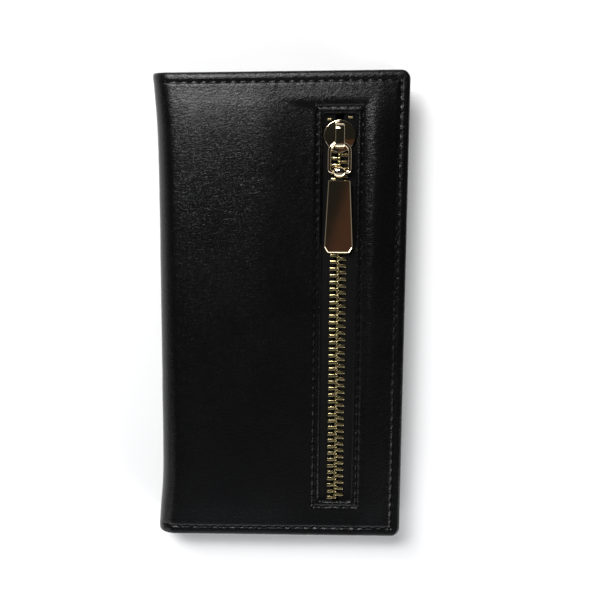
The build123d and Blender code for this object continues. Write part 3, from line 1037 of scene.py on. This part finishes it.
def spaced(path, step):
    """The same path with points at even steps."""
    lengths = np.concatenate([[0], np.cumsum(np.linalg.norm(np.diff(path, axis=0), axis=1))])
    wanted = np.linspace(0, lengths[-1], max(2, int(lengths[-1] / step)))
    return np.stack([np.interp(wanted, lengths, path[:, k]) for k in range(path.shape[1])], 1)


# %% Bridge
STRAP = 0.95
near_foot, far_foot = bridge_low[1] + 0.42, bridge_high[1] - 0.42
strap_foot, strap_top = PLATE_TOP - 0.1, bridge_high[2] - STRAP / 2
strap_corners = [(far_foot, strap_foot), (far_foot, strap_top)]
strap_corners += [(near_foot, strap_top), (near_foot, strap_foot)]
strap_line = spaced(arc_path(strap_corners, [2.5, 1.7]), 0.35)
strap_path = [(ZIP_X, y, z) for y, z in strap_line]
HALF_STRAP = (bridge_high[0] - bridge_low[0]) / 2
bridge = swept("slider_bridge", strap_path, (HALF_STRAP, STRAP / 2, 0.42))
dress(bridge, "slider", "slider_gold", "zip_slider_bridge")

# %% Link: a stirrup of wire
def joint_point(name):
    """The point that a joint turns about, in millimetres."""
    joint = next(j for j in frame["joints"] if j["name"] == name)
    return np.array(joint["pos_m"]) / MM


PIVOT, BAR = joint_point("link_swing"), joint_point("plate_swing")
link_low, link_high = box_mm("pull_link")
WIRE = 1.4
RING_HALF = (link_high[0] - link_low[0] - WIRE) / 2
REACH = float(np.linalg.norm(BAR - PIVOT))
ALONG = (BAR - PIVOT) / REACH
ACROSS = np.array([1.0, 0, 0])
ABOVE = np.cross(ACROSS, -ALONG)


def pull_point(x, along, above):
    """A point of the hanging link and plate: across, along from the pivot, and above."""
    return PIVOT + ACROSS * x + ALONG * along + ABOVE * above


ring = arc_path(
    [
        (-RING_HALF, REACH / 2),
        (-RING_HALF, 0.15),
        (0, -0.05),
        (RING_HALF, 0.15),
        (RING_HALF, REACH),
        (-RING_HALF, REACH),
        (-RING_HALF, REACH / 2 - 0.2),
    ],
    [3.1, 30, 3.1, 1.0, 1.0],
)
ring = spaced(ring, 0.3)[:-1]
ring_points = np.array([pull_point(x, a, 0) for x, a in ring])
link = swept(
    "pull_stirrup", ring_points, (WIRE / 2 * 0.96, WIRE / 2, 0.85), closed=True, up=ABOVE
)
dress(link, "link", "slider_gold", "pull_link")

# %% Plate: a flat blade with a rolled eye
plate_low, plate_high = box_mm("pull_plate")
PLATE_NEAR, PLATE_HALF = 3.3, 0.75
PLATE_FAR = 32.0
TOP_HALF, FOOT_HALF = 4.35, (plate_high[0] - plate_low[0]) / 2
blade_corners = [
    (0, PLATE_NEAR),
    (-TOP_HALF, PLATE_NEAR),
    (-FOOT_HALF, PLATE_FAR - 2.4),
    (1.4 - FOOT_HALF, PLATE_FAR),
    (FOOT_HALF - 1.4, PLATE_FAR),
    (FOOT_HALF, PLATE_FAR - 2.4),
    (TOP_HALF, PLATE_NEAR),
    (0.05, PLATE_NEAR),
]
blade = spaced(arc_path(blade_corners, [0.5, 0.5, 0.35, 0.35, 0.5, 0.5], steps=4), 0.5)[:-1]
blade = [(x, -a) for x, a in blade]


def plate_place(x, y, z):
    return tuple(pull_point(x, REACH - y, z))


BEVEL = 0.36
blade_piece = stacked(
    "blade",
    blade,
    [
        (BEVEL, -PLATE_HALF),
        (0.12, -PLATE_HALF + 0.12),
        (0.0, -PLATE_HALF + 0.35),
        (0.0, PLATE_HALF - 0.3),
        (0.06, PLATE_HALF - 0.2),
        (BEVEL, PLATE_HALF),
    ],
    plate_place,
)
EYE_HALF, BORE, EYE_SIDES = 2.1, 0.86, 28


def eye_piece():
    """The rolled eye: a short dome round the link's lower bar, with a bore through it."""
    rows = [(share * EYE_HALF, BORE) for share in (-0.9, 0.9)]
    rows += [(EYE_HALF * math.cos(k * math.pi / 10), None) for k in range(11)]
    points, faces, rings = [], [], []
    for x, bore in rows:
        dome = max(0.0, 1 - (x / EYE_HALF) ** 2) ** 0.35
        along, above = bore or 1.0 + 1.2 * dome, bore or 1.0 + 0.65 * dome
        rings.append(list(range(len(points), len(points) + EYE_SIDES)))
        for k in range(EYE_SIDES):
            angle = 2 * math.pi * k / EYE_SIDES
            across = REACH + along * math.cos(angle)
            points.append(tuple(pull_point(x, across, above * math.sin(angle))))
    for first, second in zip(rings, rings[1:] + rings[:1]):
        faces += ring_faces(first, second)
    return make_mesh("eye", points, faces)


neck = [(-1.5, -1.3), (-1.5, -3.2), (-1.9, -3.7), (1.9, -3.7), (1.5, -3.2), (1.5, -1.3)]
neck_layers = [(0.1, -0.62), (0, -0.5), (0, 0.5), (0.1, 0.62)]
neck_piece = stacked("neck", neck, neck_layers, plate_place)
plate = merged("pull_blade", [blade_piece, eye_piece(), neck_piece])
print("pull", link.name, plate.name)
dress(plate, "plate", "slider_gold", "pull_plate")


# %% Stops
NUDGES = ((0.9, -1.2, 0), (-0.7, -0.4, 0))  # the two top stops sit unevenly on their tapes


def stop_block(low, high):
    """One small pressed block, with round corners and a rolled top."""
    middle_y = (low[1] + high[1]) / 2
    corners = [(low[0], middle_y), (low[0], low[1]), (high[0], low[1]), (high[0], high[1])]
    corners += [(low[0], high[1]), (low[0], middle_y + 0.05)]
    line = arc_path(corners, [0.35] * 4, steps=4)[:-1]
    layers = [(0.1, low[2]), (0, low[2] + 0.12), (0, high[2] - 0.4), (0.08, high[2] - 0.2)]
    layers += [(0.2, high[2] - 0.07), (0.4, high[2])]
    return stacked("stop", line, layers)


def stops_of(name):
    """The blocks over a plain node of stops: two at the top and one at the bottom."""
    node = "zip_" + name
    points = np.array([v.co for v in frame["nodes"][node].data.vertices]) / MM
    if name == "top_stops":
        left = points[:, 0] < ZIP_X
        pair = zip((points[left], points[~left]), NUDGES)
        boxes = [(group.min(0) + nudge, group.max(0) + nudge) for group, nudge in pair]
    else:
        boxes = [(points.min(0), points.max(0))]
    piece = merged(name, [stop_block(low, high) for low, high in boxes])
    return dress(piece, "front", "zip_metal", node)


stops = [stops_of("top_stops"), stops_of("bottom_stop")]
print("stops", [o.name for o in stops])


# %% [markdown]
# ## Finishes
#
# Each effect that more than one finish uses is a node group: leather grain, weave, cloudy wear
# and fine scratches. A group gives only heights and masks, and each material mixes its own
# colours from them. All of them read the cut coordinates of the sheet, in metres, so one grain
# cell is the same size on every piece.


# %% Node helpers
def add_node(tree, kind, **values):
    """A node with its settings set, and its inputs set or linked, by name."""
    made = tree.nodes.new(kind)
    for key, value in values.items():
        matches = [i for i in made.inputs if i.name == key.replace("_", " ")]
        if not matches:
            setattr(made, key, value)
        elif isinstance(value, bpy.types.NodeSocket):
            tree.links.new(value, matches[0])
        else:
            matches[0].default_value = value
    return made


def new_group(name, inputs, outputs):
    """An empty node group with float inputs and float outputs."""
    group = bpy.data.node_groups.new(name, "ShaderNodeTree")
    for label, value in inputs.items():
        socket = group.interface.new_socket(label, in_out="INPUT", socket_type="NodeSocketFloat")
        socket.default_value = value
    for label in outputs:
        group.interface.new_socket(label, in_out="OUTPUT", socket_type="NodeSocketFloat")
    return group, group.nodes.new("NodeGroupInput"), group.nodes.new("NodeGroupOutput")


def math_node(tree, operation, first, second=None, clamp=False):
    """A Math node on sockets or numbers; returns its output."""
    made = tree.nodes.new("ShaderNodeMath")
    made.operation = operation
    made.use_clamp = clamp
    for index, value in enumerate((first, second)):
        if value is None:
            continue
        if isinstance(value, (int, float)):
            made.inputs[index].default_value = value
        else:
            tree.links.new(value, made.inputs[index])
    return made.outputs[0]


def cut_place(tree, stretch=(1, 1, 1)):
    """The place on the flat cut, in metres, stretched along its axes."""
    place = add_node(tree, "ShaderNodeUVMap", uv_map="cut").outputs[0]
    return add_node(tree, "ShaderNodeMapping", Scale=stretch, Vector=place).outputs[0]


def noise(tree, place, scale, detail, **values):
    """A noise texture's value at a place."""
    values = {"Vector": place, "Scale": scale, "Detail": detail, **values}
    return add_node(tree, "ShaderNodeTexNoise", **values)


# %% Group: leather grain
def grain_group():
    """Pebbles with valleys between them, fine creases across them, and slow clouds."""
    inputs = {"Cells": 1500.0, "Wrinkle": 0.5}
    group, given, result = new_group("leather_grain", inputs, ["Height", "Pore", "Cloud"])
    place = cut_place(group, (0.72, 1.25, 1))
    bend = noise(group, place, 420.0, 3.0).outputs["Color"]
    shift = add_node(group, "ShaderNodeVectorMath", operation="MULTIPLY_ADD")
    shift.inputs[1].default_value = (0.0007, 0.0007, 0)
    group.links.new(bend, shift.inputs[0])
    group.links.new(place, shift.inputs[2])
    cells = add_node(
        group,
        "ShaderNodeTexVoronoi",
        feature="DISTANCE_TO_EDGE",
        Randomness=0.95,
        Vector=shift.outputs[0],
        Scale=given.outputs["Cells"],
    )
    distance = cells.outputs["Distance"]
    pebble = add_node(group, "ShaderNodeMapRange", From_Max=0.16, Value=distance).outputs["Result"]
    crease = noise(group, cut_place(group, (0.8, 2.0, 1)), 520.0, 2.0, Roughness=0.5)
    cloud = noise(group, cut_place(group), 38.0, 4.0, Roughness=0.6)
    wrinkle = math_node(group, "MULTIPLY", crease.outputs["Fac"], given.outputs["Wrinkle"])
    height = math_node(group, "MULTIPLY", pebble, 0.25)
    group.links.new(math_node(group, "ADD", height, wrinkle), result.inputs["Height"])
    group.links.new(pebble, result.inputs["Pore"])
    group.links.new(cloud.outputs["Fac"], result.inputs["Cloud"])
    return group


# %% Group: weave
def weave_group():
    """Slanting ribs crossed by finer picks, with a little fuzz. Shade is the rib height without the
    fuzz; the cloth uses it as painted shade, dark between the threads.
    """
    group, given, result = new_group("weave", {"Threads": 3000.0}, ["Height", "Shade"])

    def ridges(value):
        return math_node(group, "ABSOLUTE", math_node(group, "SINE", value))

    parts = group.nodes.new("ShaderNodeSeparateXYZ")
    group.links.new(cut_place(group), parts.inputs[0])
    across = math_node(group, "MULTIPLY", parts.outputs["X"], given.outputs["Threads"])
    along = math_node(group, "MULTIPLY", parts.outputs["Y"], given.outputs["Threads"])
    rib = ridges(math_node(group, "ADD", across, along))
    pick = ridges(math_node(group, "MULTIPLY", along, 1.5))
    height = math_node(group, "MULTIPLY", rib, math_node(group, "ADD", pick, 0.35))
    fuzz = noise(group, cut_place(group), 2600.0, 3.0)
    rough = math_node(group, "MULTIPLY", fuzz.outputs["Fac"], 0.4)
    group.links.new(math_node(group, "ADD", height, rough), result.inputs["Height"])
    # Shade is painted shade: low between the threads, high on their crowns.
    group.links.new(height, result.inputs["Shade"])
    return group


# %% Group: polish
def polish_group():
    """Hair scratches along the metal, and cloudy haze."""
    group, given, result = new_group("polish", {"Scratches": 1.0}, ["Height", "Haze"])
    place = group.nodes.new("ShaderNodeTexCoord").outputs["Object"]
    drawn_out = add_node(group, "ShaderNodeMapping", Scale=(1, 0.06, 1), Vector=place).outputs[0]
    hair = noise(group, drawn_out, 9000.0, 2.0)
    haze = noise(group, place, 260.0, 4.0)
    height = math_node(group, "MULTIPLY", hair.outputs["Fac"], given.outputs["Scratches"])
    group.links.new(height, result.inputs["Height"])
    group.links.new(haze.outputs["Fac"], result.inputs["Haze"])
    return group


GRAIN, WEAVE, POLISH = grain_group(), weave_group(), polish_group()
print("groups", [g.name for g in bpy.data.node_groups])


# %% Parts of a material
def start_material(name, **values):
    """A material with its main shader's inputs set by name."""
    material = bpy.data.materials.new(name)
    material.use_nodes = True
    shader = material.node_tree.nodes["Principled BSDF"]
    for key, value in values.items():
        shader.inputs[key.replace("_", " ")].default_value = value
    return material, material.node_tree, shader


def use_group(tree, group, **values):
    made = add_node(tree, "ShaderNodeGroup", node_tree=group)
    for key, value in values.items():
        made.inputs[key].default_value = value
    return made.outputs


def mix_colour(tree, mask, first, second, shader):
    """Mixes two colours by a mask into the base colour. A mix node keeps its colours last."""
    mixed = add_node(tree, "ShaderNodeMix", data_type="RGBA")
    tree.links.new(mask, mixed.inputs[0])
    mixed.inputs[6].default_value = (*first, 1)
    mixed.inputs[7].default_value = (*second, 1)
    tree.links.new(mixed.outputs[2], shader.inputs["Base Color"])


def spread(tree, mask, low, high, start=0.0, end=1.0):
    """Maps a mask between two values."""
    values = {"From_Min": start, "From_Max": end, "To_Min": low, "To_Max": high}
    return add_node(tree, "ShaderNodeMapRange", Value=mask, **values).outputs["Result"]


def bump(tree, height, strength, distance, shader):
    made = add_node(tree, "ShaderNodeBump", Strength=strength, Distance=distance, Height=height)
    tree.links.new(made.outputs[0], shader.inputs["Normal"])


# %% Leather, cloth and metal
def leather(name, dark, light, cells, wrinkle, rough, strength):
    """Black leather: pores and fine creases, and a soft cloudiness in its sheen."""
    material, tree, shader = start_material(name, Specular_IOR_Level=0.26)
    grain = use_group(tree, GRAIN, Cells=cells, Wrinkle=wrinkle)
    mix_colour(tree, grain["Cloud"], dark, light, shader)
    cloud = spread(tree, grain["Cloud"], *rough, 0.35, 0.7)
    pore = spread(tree, grain["Pore"], 0.06, 0.0)
    tree.links.new(math_node(tree, "ADD", cloud, pore), shader.inputs["Roughness"])
    bump(tree, grain["Height"], strength, 0.00014, shader)
    return material


def cloth(name, dark, light, threads, rough, strength, sheen=0.3):
    """Woven or felted cloth, smoother on the crowns of its threads. Its colour is painted shade:
    darker between the threads and paler on their crowns.
    """
    material, tree, shader = start_material(name, Specular_IOR_Level=sheen)
    weave = use_group(tree, WEAVE, Threads=threads)
    # Painted shade: the dark colour lies between the threads and the light one on their crowns.
    mix_colour(tree, weave["Shade"], dark, light, shader)
    tree.links.new(spread(tree, weave["Shade"], rough + 0.1, rough), shader.inputs["Roughness"])
    bump(tree, weave["Height"], strength, 0.0001, shader)
    return material


def metal(name, base, worn, rough, scratches):
    """Polished metal with hair scratches and a cloudy haze."""
    material, tree, shader = start_material(name, Metallic=1.0)
    polish = use_group(tree, POLISH, Scratches=scratches)
    mix_colour(tree, polish["Haze"], base, worn, shader)
    haze = spread(tree, polish["Haze"], rough, rough * 1.4, 0.4, 0.7)
    tree.links.new(haze, shader.inputs["Roughness"])
    bump(tree, polish["Height"], 0.08, 0.00002, shader)
    return material


# %% The finishes of this wallet
cover_black, cover_sheen = (0.0010, 0.0010, 0.0012), (0.0018, 0.0018, 0.0020)
inner_black, inner_sheen = (0.005, 0.005, 0.0055), (0.008, 0.008, 0.0085)
cover_hide = leather(
    "cover_leather", cover_black, cover_sheen, 1250.0, 0.9, (0.215, 0.255), 0.62
)
inner_hide = leather("inner_leather", inner_black, inner_sheen, 1200.0, 0.3, (0.44, 0.52), 0.5)
lining_cloth = cloth(
    "lining_fabric", (0.008, 0.008, 0.009), (0.03, 0.03, 0.032), 9000.0, 0.72, 0.6
)
tape_cloth = cloth(
    "zip_tape", (0.0012, 0.0012, 0.0014), (0.005, 0.005, 0.0055), 6500.0, 0.65, 0.8, 0.1
)
waxed_thread = cloth(
    "thread", (0.0008, 0.0008, 0.0009), (0.002, 0.002, 0.0022), 14000.0, 0.75, 0.5, 0.06
)
foam = cloth("padding", (0.03, 0.03, 0.032), (0.07, 0.07, 0.072), 5000.0, 0.9, 0.4)
fibreboard = cloth("board", (0.035, 0.03, 0.025), (0.07, 0.06, 0.05), 2500.0, 0.85, 0.3)
brass = metal("zip_metal", (0.46, 0.385, 0.20), (0.36, 0.29, 0.145), 0.22, 1.0)
gold = metal("slider_gold", (0.93, 0.80, 0.58), (0.88, 0.74, 0.52), 0.05, 0.4)


# %% Give every piece its finish
def finish_with(material, *finished):
    for piece in finished:
        piece.data.materials.clear()
        piece.data.materials.append(material)


finish_with(cover_hide, front_cover, back_cover)
finish_with(inner_hide, *(piece for piece, place in pockets.values()))
finish_with(lining_cloth, back_lining, bag, *spine_linings)
finish_with(waxed_thread, *seams)
finish_with(foam, padding)
finish_with(tape_cloth, *tapes)
finish_with(brass, *teeth, *stops)
finish_with(gold, slider_body, bridge, link, plate)
for node in ("back_cover_board", "front_cover_board"):
    for board_slot in frame["nodes"][node].material_slots:
        board_slot.material = fibreboard
print("materials", len(bpy.data.materials))

# %% Floor
FLOOR = 1.5
floor_mesh = bpy.data.meshes.new("floor")
corners = [(-FLOOR, -FLOOR, 0), (FLOOR, -FLOOR, 0), (FLOOR, FLOOR, 0), (-FLOOR, FLOOR, 0)]
floor_mesh.from_pydata(corners, [], [(0, 1, 2, 3)])
floor = bpy.data.objects.new("floor", floor_mesh)
bpy.context.scene.collection.objects.link(floor)
paper = start_material(
    "paper", Base_Color=(0.96, 0.96, 0.965, 1), Roughness=0.9, Specular_IOR_Level=0.1
)[0]
floor_mesh.materials.append(paper)
print("floor", 2 * FLOOR, "m across")

# %% [markdown]
# ## What is cut from a sheet
#
# The width and length of the boxes of the pocket sheets, the back lining, the coin bag and the
# left zip tape are read, in millimetres. The covers are pulled tight over their boards, the pockets
# lie on each other, and the coin bag is one strip folded in two and sewn round its edge, with the
# zip's window cut from it, so its length is doubled. The sizes come from the driving sizes and the
# nodes' own boxes.
# Threads are sewn down for their whole length, so none of them is a free cord.


def cut_of(node):
    """The width and length of a node's box, in millimetres."""
    low, high = box_mm(node)
    return (high - low)[:2]


for node, (pocket, place) in pockets.items():
    cut_of(node)
cut_of("back_lining")
bag_cut = cut_of("coin_pocket_bag") * (1, 2)
for tape in tapes:
    cut_of("zip_tape_left")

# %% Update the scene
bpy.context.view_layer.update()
